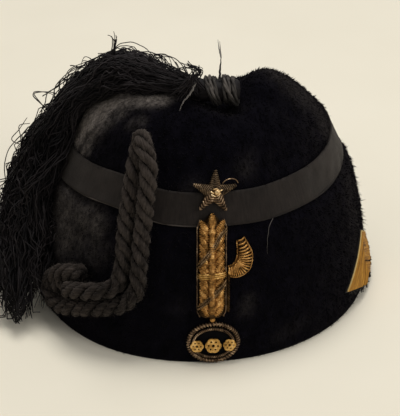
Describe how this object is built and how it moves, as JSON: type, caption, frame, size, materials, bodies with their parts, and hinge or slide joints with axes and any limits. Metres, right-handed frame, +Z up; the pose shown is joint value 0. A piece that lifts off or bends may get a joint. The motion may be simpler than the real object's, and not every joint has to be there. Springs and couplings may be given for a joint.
{
  "type": "fez",
  "caption": "Soft slumped black plush fez with a ribbon, a long thread tassel, a doubled knotted cord, a gilt front badge and a gold lace side chevron.",
  "frame": {"origin": "middle of the part's footprint box, on the table that the rim rests on", "axes": "+Z up from the rim to the top, -Y towards the front with the badge, +X towards the wearer's left, where the chevron is; the tassel falls on the -X side"},
  "size_m": [0.1914, 0.187, 0.1264],
  "materials": {
    "plush": "deep black silk plush with a short nap, worn grey along the folds",
    "grosgrain": "ribbed grosgrain ribbon, faded black",
    "black_thread": "crinkled twisted black thread",
    "binding_thread": "faded twisted black cord",
    "cord_cotton": "three-strand laid cord of faded black cotton yarns",
    "gilt_bullion": "gilt wire bullion, tarnished in the grooves",
    "velvet": "black velvet pad",
    "rosette_brass": "stamped and pierced brass, lightly polished",
    "gold_lace": "woven gold lace, dulled",
    "backing_felt": "black felt backing"
  },
  "bodies": {
    "root": {"crown": "plush", "ribbon": "grosgrain", "tassel": "black_thread", "neck_binding": "binding_thread", "cord": "cord_cotton", "badge_star": "gilt_bullion", "badge_ear": "gilt_bullion", "badge_leaf": "gilt_bullion", "badge_stem": "gilt_bullion", "badge_foot": "gilt_bullion", "medallion_velvet": "velvet", "medallion_rim": "gilt_bullion", "rosette_left": "rosette_brass", "rosette_middle": "rosette_brass", "rosette_right": "rosette_brass", "chevron_backing": "backing_felt", "chevron_lace": "gold_lace", "chevron_stripe": "gold_lace"}
  },
  "joints": []
}
